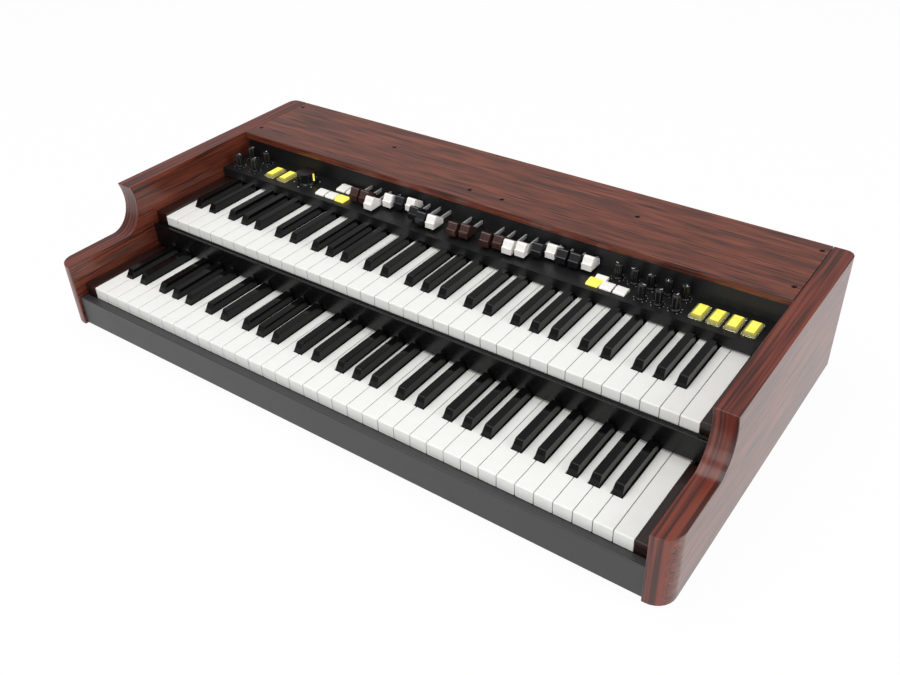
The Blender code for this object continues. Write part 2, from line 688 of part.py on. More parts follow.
# Every drawbar's origin lies on the line that its stem slides along, level with the front of its cap
def build_drawbars():
    bottom = PANEL_TOP + DRAWBAR_CAP_LIFT
    colors = {"brown": (0.055, 0.025, 0.020), "white": (0.85, 0.83, 0.79), "black": (0.014, 0.014, 0.016)}
    manual_order = "brown", "brown", "white", "white", "black", "white", "black", "black", "white"
    closed_front = strip_y(bottom) - DRAWBAR_STOP_GAP - DRAWBAR_CAP_DEPTH
    outline = drawbar_cap_outline(0.0, bottom - STEM_MIDDLE)
    stem_front = DRAWBAR_CAP_DEPTH - STEM_SEAT
    for name, x, setting in drawbar_places():
        number = int(name.rsplit("_", 1)[1])
        color = "brown" if "pedal" in name else manual_order[number - 1]
        cap = prism_mesh(name, outline, -DRAWBAR_CAP_WIDTH / 2, DRAWBAR_CAP_WIDTH / 2)
        place = (x, closed_front - setting * DRAWBAR_STEP, STEM_MIDDLE)
        bar = part_from_mesh(name, cap, material("drawbar_" + color, colors[color], 0.3), place)
        stem = box_mesh("stem", (-DRAWBAR_STEM_WIDTH / 2, stem_front, -DRAWBAR_STEM_HEIGHT / 2),
                        (DRAWBAR_STEM_WIDTH / 2, stem_front + DRAWBAR_STEM_LENGTH, DRAWBAR_STEM_HEIGHT / 2))
        fuse_on(bar, name + "_stem", [stem])


# The selector's origin lies on its shaft's axis, level with the panel
def build_selector():
    x, y = SELECTOR_PLACE
    middle = (0.0, 0.0)
    radius = SELECTOR_DIAMETER / 2
    low = SELECTOR_GAP
    skirt = cylinder_mesh("selector_knob", radius, low, low + 0.0030, middle, 32, radius - 0.0010)
    finish = material("knob_plastic", (0.012, 0.012, 0.013), 0.35)
    knob = part_from_mesh("selector_knob", skirt, finish, (x, PANEL_Y + y, PANEL_TOP))
    grip = prism_mesh("grip", fluted_outline(radius - 0.0020, 12, 0.0011, 3, middle), low + 0.0010,
                      low + SELECTOR_HEIGHT, "z")
    shaft = cylinder_mesh("shaft", SHAFT_DIAMETER / 2, -SHAFT_REACH, low + 0.0015, middle, 12)
    fuse_on(knob, "selector_grip", [grip])
    fuse_on(knob, "selector_shaft", [shaft])
    smooth_by_angle(knob)


# A lit button's origin lies on the upright line that it travels along, level with the panel
def build_lit_buttons():
    finish = material("lit_yellow", (0.90, 0.85, 0.20), 0.3)
    words = ["left_1", "left_2", "right_1", "right_2", "right_3", "right_4"]
    half_x = LIT_BUTTON_WIDTH / 2
    half_y = LIT_BUTTON_LENGTH / 2
    for word, (x, y) in zip(words, lit_button_places()):
        name = "lit_button_" + word
        mesh = box_mesh(name, (-half_x, -half_y, -SHEET - 0.0030), (half_x, half_y, LIT_BUTTON_HEIGHT))
        cap = part_from_mesh(name, mesh, finish, (x, y, PANEL_TOP))
        soften = cap.modifiers.new("soften", "BEVEL")
        soften.width = LIT_BUTTON_EDGE
        soften.segments = 1
        soften.limit_method = "ANGLE"


REAR_FACE = REAR_Y - REAR_SETBACK
SOCKET_ROW = PAN_FLOOR + 0.0480
JACK_PLACES = [0.030 * step + 0.060 for step in range(4)]
DIN_PLACES = [0.210, 0.242]
INLET_MIDDLE = -0.3500, PAN_FLOOR + 0.0520
BOARD_THICKNESS = 0.0016


def build_rear_panel():
    low, high = across_width()
    face = REAR_FACE
    outline = [(face - SHEET, BASE_UNDERSIDE), (face, BASE_UNDERSIDE), (face, TOP_UNDERSIDE - FIT_GAP),
               (face - 0.0140, TOP_UNDERSIDE - FIT_GAP), (face - 0.0140, TOP_UNDERSIDE - FIT_GAP - SHEET),
               (face - SHEET, TOP_UNDERSIDE - FIT_GAP - SHEET)]
    panel = part_from_mesh("rear_panel", prism_mesh("rear_panel", outline, low, high), black_paint())
    holes = []
    for x in JACK_PLACES:
        holes.append(lay_along_y(cylinder_mesh("jack", 0.0046, -0.01, 0.01, (0, 0), 12), x, face, SOCKET_ROW))
    for x in DIN_PLACES:
        holes.append(lay_along_y(cylinder_mesh("din", 0.0080, -0.01, 0.01, (0, 0), 16), x, face, SOCKET_ROW))
    x, z = INLET_MIDDLE
    holes.append(box_mesh("inlet", (x - 0.0240, face - 0.01, z - 0.0140), (x + 0.0240, face + 0.01, z + 0.0140)))
    cut_away(panel, "rear_holes", holes)


# The board stands on the base pan's floor; its jacks and round sockets face the holes in the back
def build_main_board():
    back = REAR_FACE - SHEET - FIT_GAP
    front = UPPER_KEY_Y + KEY_LENGTH + 0.0330
    low_z = SOCKET_ROW - 0.0100
    mesh = box_mesh("main_board", (0.020, front, low_z - BOARD_THICKNESS), (0.300, back - 0.001, low_z))
    board = part_from_mesh("main_board", mesh, material("board_green", (0.02, 0.11, 0.05), 0.5))
    blocks = []
    bores = []
    for x in JACK_PLACES:
        blocks.append(box_mesh("jack", (x - 0.0075, back - 0.026, low_z - 0.0008),
                               (x + 0.0075, back, SOCKET_ROW + 0.0080)))
        bores.append(lay_along_y(cylinder_mesh("bore", 0.0034, -0.0190, 0.001, (0, 0), 8), x, back, SOCKET_ROW))
    for x in DIN_PLACES:
        blocks.append(box_mesh("din", (x - 0.0100, back - 0.018, low_z - 0.0008),
                               (x + 0.0100, back, SOCKET_ROW + 0.0095)))
        bores.append(lay_along_y(cylinder_mesh("bore", 0.0068, -0.0080, 0.001, (0, 0), 12), x, back, SOCKET_ROW))
    blocks.append(box_mesh("chip", (0.100, front + 0.020, low_z - 0.0008), (0.128, front + 0.048, low_z + 0.0016)))
    blocks.append(box_mesh("chip", (0.170, front + 0.024, low_z - 0.0008), (0.186, front + 0.040, low_z + 0.0016)))
    for x in (0.032, 0.288):
        for y in (front + 0.008, back - 0.040):
            blocks.append(cylinder_mesh("pillar", 0.0040, PAN_FLOOR + FIT_GAP, low_z - 0.0008, (x, y), 8))
    fuse_on(board, "board_parts", blocks)
    cut_away(board, "board_bores", bores)


# Mains inlet with its recess and pins, and a well beside it for the rocker of the power switch
def build_mains_inlet():
    x, z = INLET_MIDDLE
    face = REAR_FACE
    body = box_mesh("mains_inlet", (x - 0.0235, face - 0.0300, z - 0.0135), (x + 0.0235, face, z + 0.0135))
    inlet = part_from_mesh("mains_inlet", body, material("black_moulding", (0.015, 0.015, 0.016), 0.45))
    flange = box_mesh("flange", (x - 0.0260, face + FIT_GAP, z - 0.0160), (x + 0.0260, face + 0.0030, z + 0.0160))
    core = box_mesh("core", (x - 0.0235, face - 0.001, z - 0.0135), (x + 0.0235, face + 0.002, z + 0.0135))
    fuse_on(inlet, "inlet_core", [core])
    fuse_on(inlet, "inlet_flange", [flange])
    recess = prism_mesh("recess", [(x - 0.0205, z - 0.0085), (x - 0.0205, z + 0.0050), (x - 0.0165, z + 0.0090),
                                   (x - 0.0005, z + 0.0090), (x + 0.0035, z + 0.0050), (x + 0.0035, z - 0.0085)],
                        face - 0.0150, face + 0.0100, "y")
    well = box_mesh("well", (x + 0.0080, face - 0.0120, z - 0.0105), (x + 0.0210, face + 0.0100, z + 0.0105))
    cut_away(inlet, "inlet_recess", [recess, well])
    pins = []
    for shift, rise in ((-0.0155, -0.0035), (-0.0085, 0.0015), (-0.0015, -0.0035)):
        pins.append(box_mesh("pin", (x + shift - 0.0010, face - 0.0160, z + rise - 0.0020),
                             (x + shift + 0.0010, face - 0.0030, z + rise + 0.0020)))
    fuse_on(inlet, "inlet_pins", pins)


SWITCH_ANGLE = 14.0


# Rocker drawn about its own axis: one half stands proud and the other lies level with the flange
def build_power_switch():
    x, z = INLET_MIDDLE
    half = 0.0092
    rise = math.tan(math.radians(SWITCH_ANGLE / 2)) * half
    outline = [(0.0040 + rise, -half), (0.0030, 0.0), (0.0040 - rise, half), (-0.0030, half * 0.9), (-0.0060, 0.0),
               (-0.0030, -half * 0.9)]
    mesh = prism_mesh("power_switch", outline, -0.0060, 0.0060)
    part_from_mesh("power_switch", mesh, material("black_moulding", (0.015, 0.015, 0.016), 0.45),
                   (x + 0.0145, REAR_FACE - 0.0015, z))


def build_feet():
    finish = material("foot_rubber", (0.02, 0.02, 0.02), 0.8)
    radius = FOOT_DIAMETER / 2
    for side, word in ((-1, "left"), (1, "right")):
        for y, place in ((FRONT_Y + FOOT_INSET_Y, "front"), (REAR_Y - FOOT_INSET_Y, "rear")):
            x = side * (INNER_WIDTH / 2 - FOOT_INSET_X)
            name = "foot_%s_%s" % (place, word)
            mesh = cylinder_mesh(name, radius * FOOT_TAPER, 0.0, BASE_UNDERSIDE - FIT_GAP, (0.0, 0.0), 20, radius)
            foot = part_from_mesh(name, mesh, finish, (x, y, 0.0))
            smooth_by_angle(foot)


clear_scene()
build_cheek("cheek_left", -1)
build_cheek("cheek_right", 1)
build_base_pan()
build_front_rail()
build_middle_rail()
build_wood_top()
lower_legs = [LOWER_KEY_Y + BED_SETBACK + LOWER_LEG_PITCH * step for step in range(3)]
lower_legs.append(LOWER_KEY_Y + KEY_LENGTH + REAR_LEG_SETBACK)
build_keybed("keybed_lower", LOWER_KEY_Y, DECK_TOP, lower_legs, PAN_FLOOR + FIT_GAP, True)
upper_legs = [UPPER_KEY_Y + KEY_LENGTH + REAR_LEG_SETBACK - UPPER_LEG_PITCH * step for step in range(3)]
build_keybed("keybed_upper", UPPER_KEY_Y, UPPER_DECK_TOP, upper_legs, PAN_FLOOR + FIT_GAP, False)
build_played_keys()
build_end_blocks()
build_control_panel()
build_drawbars()
build_selector()
build_lit_buttons()
build_rear_panel()
build_main_board()
build_mains_inlet()
build_power_switch()
build_feet()
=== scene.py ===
import math

import bmesh
import bpy
from mathutils import Matrix, Quaternion, Vector


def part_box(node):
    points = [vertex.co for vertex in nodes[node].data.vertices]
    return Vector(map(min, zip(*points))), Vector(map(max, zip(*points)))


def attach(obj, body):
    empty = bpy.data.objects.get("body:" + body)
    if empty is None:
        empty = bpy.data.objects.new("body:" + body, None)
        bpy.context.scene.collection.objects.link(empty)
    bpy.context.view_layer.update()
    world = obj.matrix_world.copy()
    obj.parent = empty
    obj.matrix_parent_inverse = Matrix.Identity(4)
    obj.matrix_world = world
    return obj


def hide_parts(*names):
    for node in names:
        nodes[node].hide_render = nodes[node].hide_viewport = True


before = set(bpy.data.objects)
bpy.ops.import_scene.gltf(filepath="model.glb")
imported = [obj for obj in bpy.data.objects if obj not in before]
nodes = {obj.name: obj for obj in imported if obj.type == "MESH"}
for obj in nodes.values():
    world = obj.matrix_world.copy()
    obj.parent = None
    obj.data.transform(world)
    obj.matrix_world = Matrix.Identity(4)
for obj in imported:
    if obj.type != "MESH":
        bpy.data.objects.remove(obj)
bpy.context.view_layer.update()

# Sizes that the frame gives
lowBed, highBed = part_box("keybed_lower")
lowUpper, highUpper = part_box("keybed_upper")
lowC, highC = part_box("key_c")
lowD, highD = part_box("key_d")
lowPanel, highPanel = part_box("control_panel")
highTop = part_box("wood_top")[1]
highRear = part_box("rear_panel")[1]
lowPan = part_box("base_pan")[0]
keyPitch = (lowD[0] + highD[0] - lowC[0] - highC[0]) / 2
octave = keyPitch * 7
manualSetback = lowUpper[1] - lowBed[1]
manualRise = highUpper[2] - highBed[2]
whiteTop = highC[2]
keyFront = lowC[1]
noteNames = ["c", "cs", "d", "ds", "e", "f", "fs", "g", "gs", "a", "as", "b"]


def linear(red, green, blue):  # picture colour, 0 to 255, to the value that a shader takes
    parts = []
    for value in (red, green, blue):
        share = value / 255
        parts.append(share / 12.92 if share <= 0.04045 else ((share + 0.055) / 1.055) ** 2.4)
    return (*parts, 1.0)


# Materials

def newMaterial(name, color, roughness, metallic=0.0):
    made = bpy.data.materials.new(name)
    made.use_nodes = True
    shader = made.node_tree.nodes["Principled BSDF"]
    shader.inputs["Base Color"].default_value = color
    shader.inputs["Roughness"].default_value = roughness
    shader.inputs["Metallic"].default_value = metallic
    return made, made.node_tree, shader


def addNode(tree, kind, values=None, **settings):
    made = tree.nodes.new(kind)
    for key, value in settings.items():
        setattr(made, key, value)
    for key, value in (values or {}).items():
        made.inputs[key].default_value = value
    return made


def addRamp(tree, source, stops):
    ramp = tree.nodes.new("ShaderNodeValToRGB")
    while len(ramp.color_ramp.elements) < len(stops):
        ramp.color_ramp.elements.new(0.5)
    for element, (place, color) in zip(ramp.color_ramp.elements, stops):
        element.position = place
        element.color = color if len(color) == 4 else (*color, 1.0)
    tree.links.new(source, ramp.inputs["Fac"])
    return ramp.outputs["Color"]


def objectCoords(tree, scale):
    coords = addNode(tree, "ShaderNodeTexCoord")
    mapping = addNode(tree, "ShaderNodeMapping", {"Scale": scale})
    tree.links.new(coords.outputs["Object"], mapping.inputs["Vector"])
    return mapping.outputs["Vector"]


def addNoise(tree, vector, scale, detail=4.0, roughness=0.55, distortion=0.0):
    noise = addNode(tree, "ShaderNodeTexNoise", {"Scale": scale, "Detail": detail, "Roughness": roughness,
                                                 "Distortion": distortion})
    tree.links.new(vector, noise.inputs["Vector"])
    return noise.outputs["Fac"]


def mixColors(tree, share, first, second, blend="MIX"):
    mix = addNode(tree, "ShaderNodeMix", data_type="RGBA", blend_type=blend)
    for value, socket in ((share, mix.inputs[0]), (first, mix.inputs[6]), (second, mix.inputs[7])):
        if isinstance(value, (float, int, tuple)):
            socket.default_value = value
        else:
            tree.links.new(value, socket)
    return mix.outputs[2]


def addBump(tree, shader, height, strength, distance):
    bump = addNode(tree, "ShaderNodeBump", {"Strength": strength, "Distance": distance})
    tree.links.new(height, bump.inputs["Height"])
    tree.links.new(bump.outputs["Normal"], shader.inputs["Normal"])


wood = {
    "dark": linear(80, 36, 24),
    "mid": linear(104, 49, 33),
    "light": linear(124, 62, 43),
    "pore": linear(38, 15, 10),
    "edgeDark": linear(58, 20, 13),
    "edgeMid": linear(98, 36, 23),
    "edgeLight": linear(118, 50, 32),
    "grainStretch": 0.10,     # along the grain, so that the figure runs ten times as long as wide
    "figureScale": 102.0,     # noise cells across a metre
    "wander": 0.08,           # metres that the figure drifts
    "poreScale": 420.0,
    "poreStretch": 1.0 / 36,
    "layerScale": 250.0,      # glued layers, seen on the cheeks' edges
    "roughness": 0.34,
}


def woodMaterial(name, along, layered=False, paintedShade=1.0):
    made, tree, shader = newMaterial(name, wood["mid"], wood["roughness"])
    stretch = [1.0, 1.0, 1.0]
    stretch[along] = wood["grainStretch"]
    wide = objectCoords(tree, stretch)
    wander = addNoise(tree, wide, 5.0, 3.0, 0.5, 0.4)
    lift = addNode(tree, "ShaderNodeVectorMath", operation="SCALE")
    lift.inputs["Scale"].default_value = wood["wander"]
    drift = addNode(tree, "ShaderNodeTexNoise", {"Scale": 4.0, "Detail": 3.0})
    tree.links.new(wide, drift.inputs["Vector"])
    tree.links.new(drift.outputs["Color"], lift.inputs[0])
    shifted = addNode(tree, "ShaderNodeVectorMath", operation="ADD")
    tree.links.new(wide, shifted.inputs[0])
    tree.links.new(lift.outputs[0], shifted.inputs[1])
    rings = addNode(tree, "ShaderNodeTexNoise", {"Scale": wood["figureScale"], "Detail": 2.0,
                                                 "Roughness": 0.4, "Distortion": 0.6})
    tree.links.new(shifted.outputs[0], rings.inputs["Vector"])
    tones = [(0.30, wood["dark"]), (0.48, wood["mid"]), (0.70, wood["light"])]
    color = addRamp(tree, rings.outputs["Fac"], tones)
    fineStretch = [1.0, 1.0, 1.0]
    fineStretch[along] = wood["poreStretch"]
    fine = objectCoords(tree, fineStretch)
    pores = addNoise(tree, fine, wood["poreScale"], 2.0, 0.5)
    poreMask = addRamp(tree, pores, [(0.36, (1, 1, 1)), (0.47, (0, 0, 0))])
    color = mixColors(tree, poreMask, color, wood["pore"])
    cloud = addRamp(tree, wander, [(0.3, (0.84, 0.83, 0.82)), (0.7, (1.12, 1.10, 1.08))])
    color = mixColors(tree, 0.8, color, cloud, "MULTIPLY")
    if layered:
        layers = objectCoords(tree, (wood["layerScale"], 6.0, 6.0))
        bands = addNoise(tree, layers, 1.0, 1.0, 0.5)
        edges = [(0.38, wood["edgeDark"]), (0.5, wood["edgeMid"]), (0.62, wood["edgeLight"])]
        edge = addRamp(tree, bands, edges)
        facing = addNode(tree, "ShaderNodeNewGeometry")
        split = addNode(tree, "ShaderNodeSeparateXYZ")
        tree.links.new(facing.outputs["True Normal"], split.inputs[0])
        size = addNode(tree, "ShaderNodeMath", operation="ABSOLUTE")
        tree.links.new(split.outputs["X"], size.inputs[0])
        sideMask = addRamp(tree, size.outputs[0], [(0.55, (0, 0, 0)), (0.85, (1, 1, 1))])
        color = mixColors(tree, sideMask, edge, color)
    # painted shade: a factor below one darkens the whole wood, standing in for the shadow that falls on the
    # end blocks between keys and cheeks
    if paintedShade != 1.0:
        color = mixColors(tree, 1.0, color, (paintedShade, paintedShade * 0.96, paintedShade * 0.92, 1.0), "MULTIPLY")
    tree.links.new(color, shader.inputs["Base Color"])
    shader.inputs["Coat Weight"].default_value = 0.25
    shader.inputs["Coat Roughness"].default_value = 0.16
    addBump(tree, shader, pores, 0.25, 0.0004)
    return made


def speckledMaterial(name, color, roughness, speckle, scale, bump=0.08, metallic=0.0, specular=0.5):
    made, tree, shader = newMaterial(name, color, roughness, metallic)
    shader.inputs["Specular IOR Level"].default_value = specular
    vector = objectCoords(tree, (1.0, 1.0, 1.0))
    grain = addNoise(tree, vector, scale, 3.0, 0.6)
    dark = tuple(value * (1 - speckle) for value in color[:3])
    light = tuple(min(1.0, value * (1 + speckle)) for value in color[:3])
    tree.links.new(addRamp(tree, grain, [(0.35, dark), (0.65, light)]), shader.inputs["Base Color"])
    wear = addNoise(tree, vector, 38.0, 2.0, 0.5)
    low = max(0.0, roughness * 0.85)
    high = min(1.0, roughness * 1.15)
    spread = addNode(tree, "ShaderNodeMapRange", {"To Min": low, "To Max": high})
    tree.links.new(wear, spread.inputs["Value"])
    tree.links.new(spread.outputs["Result"], shader.inputs["Roughness"])
    if bump:
        addBump(tree, shader, grain, bump, 0.0002)
    return made


lit = {"color": linear(253, 243, 112), "edge": linear(238, 222, 78), "strength": 1.0}


def litMaterial(name, strength):
    made, tree, shader = newMaterial(name, linear(120, 112, 30), 0.25)
    vector = objectCoords(tree, (1.0, 1.0, 1.0))
    cloud = addNoise(tree, vector, 160.0, 2.0, 0.5)
    glow = addRamp(tree, cloud, [(0.3, lit["edge"]), (0.55, lit["color"])])
    tree.links.new(glow, shader.inputs["Emission Color"])
    shader.inputs["Emission Strength"].default_value = strength
    return made


def clearMaterial(name):
    made, tree, shader = newMaterial(name, (0.93, 0.92, 0.78, 1.0), 0.10)
    shader.inputs["Transmission Weight"].default_value = 0.85
    shader.inputs["IOR"].default_value = 1.47
    vector = objectCoords(tree, (1.0, 1.0, 1.0))
    addBump(tree, shader, addNoise(tree, vector, 220.0), 0.05, 0.0002)
    return made


topWood = woodMaterial("topWood", 0)
cheekWood = woodMaterial("cheekWood", 1, True)
# end blocks: the case wood painted down to about an eighth of its brightness, as painted shade for where they
# sit in shadow
blockWood = woodMaterial("blockWood", 1, False, 0.12)
frontPaint = speckledMaterial("frontPaint", linear(52, 52, 54), 0.40, 0.10, 900.0, 0.10)
panPaint = speckledMaterial("panPaint", linear(34, 34, 35), 0.50, 0.10, 900.0, 0.12)
panelPaint = speckledMaterial("panelPaint", linear(22, 22, 23), 0.36, 0.12, 1100.0, 0.08, 0.0, 0.35)
glossPanel = speckledMaterial("glossPanel", linear(10, 10, 11), 0.27, 0.05, 300.0, 0.0, 0.0, 0.35)
ivory = speckledMaterial("ivory", linear(240, 240, 236), 0.24, 0.012, 60.0, 0.0)
ebony = speckledMaterial("ebony", linear(8, 8, 9), 0.12, 0.10, 120.0, 0.0, 0.0, 0.25)
capWhite = speckledMaterial("capWhite", linear(245, 242, 238), 0.28, 0.02, 150.0, 0.02)
capBrown = speckledMaterial("capBrown", linear(62, 38, 33), 0.25, 0.12, 150.0, 0.03)
capBlack = speckledMaterial("capBlack", linear(22, 22, 26), 0.22, 0.12, 150.0, 0.03)
knobBlack = speckledMaterial("knobBlack", linear(16, 16, 17), 0.24, 0.12, 400.0, 0.03, 0.0, 0.45)
steel = speckledMaterial("steel", linear(226, 226, 228), 0.30, 0.04, 700.0, 0.03, 0.55)
screwBlack = speckledMaterial("screwBlack", linear(30, 28, 28), 0.35, 0.15, 500.0, 0.05, 0.8)
moulding = speckledMaterial("moulding", linear(26, 26, 27), 0.5, 0.12, 1500.0, 0.15)
rubber = speckledMaterial("rubber", linear(24, 24, 24), 0.85, 0.15, 900.0, 0.25)
board = speckledMaterial("board", linear(24, 84, 52), 0.42, 0.20, 260.0, 0.08)
legend = speckledMaterial("legend", linear(225, 225, 220), 0.5, 0.03, 400.0, 0.0)
chassis = speckledMaterial("chassis", linear(70, 70, 72), 0.55, 0.10, 400.0, 0.08, 0.3)
litYellow = litMaterial("litYellow", lit["strength"])
litOlive = litMaterial("litOlive", lit["strength"] * 0.28)
clearPlastic = clearMaterial("clearPlastic")
print("materials ready")


# Mesh helpers

def newPiece(name, mesh, finish, body):
    piece = bpy.data.objects.new(name, mesh)
    bpy.context.scene.collection.objects.link(piece)
    if finish is not None:
        mesh.materials.clear()
        mesh.materials.append(finish)
    if body is not None:
        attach(piece, body)
    return piece


def fromBuild(build, name):
    mesh = bpy.data.meshes.new(name)
    build.normal_update()
    bmesh.ops.recalc_face_normals(build, faces=build.faces)
    build.to_mesh(mesh)
    build.free()
    return mesh


def boxMesh(low, high):
    build = bmesh.new()
    bmesh.ops.create_cube(build, size=1.0)
    bmesh.ops.scale(build, vec=[b - a for a, b in zip(low, high)], verts=build.verts)
    bmesh.ops.translate(build, vec=[(a + b) / 2 for a, b in zip(low, high)], verts=build.verts)
    return fromBuild(build, "box")


def profileMesh(outline, start, end, across="x"):
    build = bmesh.new()
    face = build.faces.new([build.verts.new((u, v, start)) for u, v in outline])
    grown = bmesh.ops.extrude_face_region(build, geom=[face])["geom"]
    far = [item for item in grown if isinstance(item, bmesh.types.BMVert)]
    bmesh.ops.translate(build, vec=(0.0, 0.0, end - start), verts=far)
    for vert in build.verts:
        u, v, w = vert.co
        vert.co = (w, u, v) if across == "x" else (u, v, w)
    return fromBuild(build, "profile")


def turnedMesh(outline, sides, flutes=0, dip=0.0):  # outline is radius and height from the bottom up
    build = bmesh.new()
    rings = []
    for radius, height in outline:
        ring = []
        for step in range(sides):
            angle = 2 * math.pi * step / sides
            cut = dip * (0.5 - 0.5 * math.cos(flutes * angle)) if flutes and radius > dip * 4 else 0.0
            reach = radius - cut
            ring.append(build.verts.new((reach * math.cos(angle), reach * math.sin(angle), height)))
        rings.append(ring)
    for lower, upper in zip(rings, rings[1:]):
        for step in range(sides):
            after = (step + 1) % sides
            build.faces.new((lower[step], lower[after], upper[after], upper[step]))
    build.faces.new(rings[0][::-1])
    build.faces.new(rings[-1])
    return fromBuild(build, "turned")


def joinMeshes(meshes, name="joined"):
    build = bmesh.new()
    for mesh in meshes:
        build.from_mesh(mesh)
    mesh = bpy.data.meshes.new(name)
    build.to_mesh(mesh)
    build.free()
    return mesh


def finished(thing):  # what the modifiers make, as a plain mesh
    graph = bpy.context.evaluated_depsgraph_get()
    return bpy.data.meshes.new_from_object(thing.evaluated_get(graph))


def shaped(mesh, cutter=None, edge=0.0, steps=2, angle=30.0):
    mesh.shade_smooth()
    holder = bpy.data.objects.new("holder", mesh)
    bpy.context.scene.collection.objects.link(holder)
    tool = None
    if cutter is not None:
        tool = bpy.data.objects.new("tool", cutter)
        bpy.context.scene.collection.objects.link(tool)
        cut = holder.modifiers.new("cut", "BOOLEAN")
        cut.solver = "EXACT"
        cut.object = tool
    if edge:
        bevel = holder.modifiers.new("edge", "BEVEL")
        bevel.width = edge
        bevel.segments = steps
        bevel.limit_method = "ANGLE"
        bevel.angle_limit = math.radians(angle)
        weigh = holder.modifiers.new("weigh", "WEIGHTED_NORMAL")
        weigh.mode = "FACE_AREA"
        weigh.weight = 100
        weigh.keep_sharp = True
    result = finished(holder)
    bpy.data.objects.remove(holder, do_unlink=True)
    if tool is not None:
        bpy.data.objects.remove(tool, do_unlink=True)
    if not edge:
        result.shade_smooth()
        result.set_sharp_from_angle(angle=math.radians(40.0))
    return result


def mergedCopy(nodeName):  # a CAD node's mesh with its triangles joined into whole faces
    build = bmesh.new()
    build.from_mesh(nodes[nodeName].data)
    bmesh.ops.remove_doubles(build, verts=build.verts, dist=0.00002)
    bmesh.ops.dissolve_limit(build, angle_limit=math.radians(0.6), verts=build.verts, edges=build.edges)
    return fromBuild(build, nodeName)


def refine(nodeName, pieceName, finish, body, edge, steps=2, angle=30.0):
    mesh = shaped(mergedCopy(nodeName), None, edge, steps, angle)
    piece = newPiece(pieceName, mesh, finish, body)
    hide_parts(nodeName)


# One Geometry Nodes tree puts an item on each point of a mesh

def placerTree():
    tree = bpy.data.node_groups.new("placeOnPoints", "GeometryNodeTree")
    sockets = {}
    for title, kind in (("Geometry", "Geometry"), ("Item", "Object"), ("Size", "Float"), ("Turn", "Float"),
                        ("Finish", "Material")):
        sockets[title] = tree.interface.new_socket(title, in_out="INPUT", socket_type="NodeSocket" + kind)
    tree.interface.new_socket("Geometry", in_out="OUTPUT", socket_type="NodeSocketGeometry")
    start = tree.nodes.new("NodeGroupInput")
    end = tree.nodes.new("NodeGroupOutput")
    item = tree.nodes.new("GeometryNodeObjectInfo")
    spread = tree.nodes.new("GeometryNodeInstanceOnPoints")
    index = tree.nodes.new("GeometryNodeInputIndex")
    turn = tree.nodes.new("ShaderNodeMath")
    turn.operation = "MULTIPLY"
    euler = tree.nodes.new("ShaderNodeCombineXYZ")
    rotation = tree.nodes.new("FunctionNodeEulerToRotation")
    realize = tree.nodes.new("GeometryNodeRealizeInstances")
    paint = tree.nodes.new("GeometryNodeSetMaterial")
    link = tree.links.new
    link(start.outputs["Geometry"], spread.inputs["Points"])
    link(start.outputs["Item"], item.inputs["Object"])
    link(item.outputs["Geometry"], spread.inputs["Instance"])
    link(start.outputs["Size"], spread.inputs["Scale"])
    link(index.outputs[0], turn.inputs[0])
    link(start.outputs["Turn"], turn.inputs[1])
    link(turn.outputs[0], euler.inputs["Z"])
    link(euler.outputs[0], rotation.inputs[0])
    link(rotation.outputs[0], spread.inputs["Rotation"])
    link(spread.outputs["Instances"], realize.inputs[0])
    link(realize.outputs[0], paint.inputs["Geometry"])
    link(start.outputs["Finish"], paint.inputs["Material"])
    link(paint.outputs[0], end.inputs[0])
    return tree, {title: socket.identifier for title, socket in sockets.items()}


placer, placerInputs = placerTree()


def placed(itemMesh, points, finish, turn=0.0):
    item = bpy.data.objects.new("item", itemMesh)
    bpy.context.scene.collection.objects.link(item)
    spots = bpy.data.meshes.new("spots")
    spots.from_pydata([tuple(point) for point in points], [], [])
    holder = bpy.data.objects.new("spots", spots)
    bpy.context.scene.collection.objects.link(holder)
    change = holder.modifiers.new("place", "NODES")
    change.node_group = placer
    change[placerInputs["Item"]] = item
    change[placerInputs["Size"]] = 1.0
    change[placerInputs["Turn"]] = turn
    change[placerInputs["Finish"]] = finish
    holder.update_tag()
    result = finished(holder)
    bpy.data.objects.remove(holder, do_unlink=True)
    bpy.data.objects.remove(item, do_unlink=True)
    return result


# Wooden case

case = {"edge": 0.0024, "topEdge": 0.0008, "blockEdge": 0.0008, "frontEdge": 0.0004, "middleEdge": 0.0003}
refine("cheek_left", "cheekLeft", cheekWood, "case", case["edge"], 3, 50.0)
refine("cheek_right", "cheekRight", cheekWood, "case", case["edge"], 3, 50.0)

screw = {
    "radius": 0.0031,
    "rise": 0.0007,
    "slot": 0.0007,
    "reach": 0.0019,
    "sink": 0.0008,         # depth of the recess round a head in the wooden top
    "sinkRadius": 0.0036,
    "cutAbove": 0.01,
}
screwPlaces = [(-0.4345, 0.1336), (-0.027, 0.1336), (0.027, 0.1336), (0.4345, 0.1336), (-0.205, 0.1886),
               (0.205, 0.1886), (-0.4348, 0.2316), (0.4348, 0.2316)]
sinks = []
for x, y in screwPlaces:
    levels = (highTop[2] - screw["sink"], highTop[2] + screw["cutAbove"])
    sink = turnedMesh([(screw["sinkRadius"], level) for level in levels], 24)
    sink.transform(Matrix.Translation((x, y, 0.0)))
    sinks.append(sink)
topMesh = shaped(mergedCopy("wood_top"), joinMeshes(sinks), case["topEdge"], 2, 50.0)
topBoard = newPiece("woodTop", topMesh, topWood, "case")
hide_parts("wood_top")
for level in ("lower", "upper"):
    for side in ("left", "right"):
        nodeName = "end_block_%s_%s" % (level, side)
        pieceName = "endBlock" + level.title() + side.title()
        refine(nodeName, pieceName, blockWood, "case", case["blockEdge"])
refine("front_rail", "frontRail", frontPaint, "case", case["frontEdge"])
refine("middle_rail", "middleRail", glossPanel, "case", case["middleEdge"])
print("case ready")


# Keys: the played octave's own shapes, repeated along both manuals

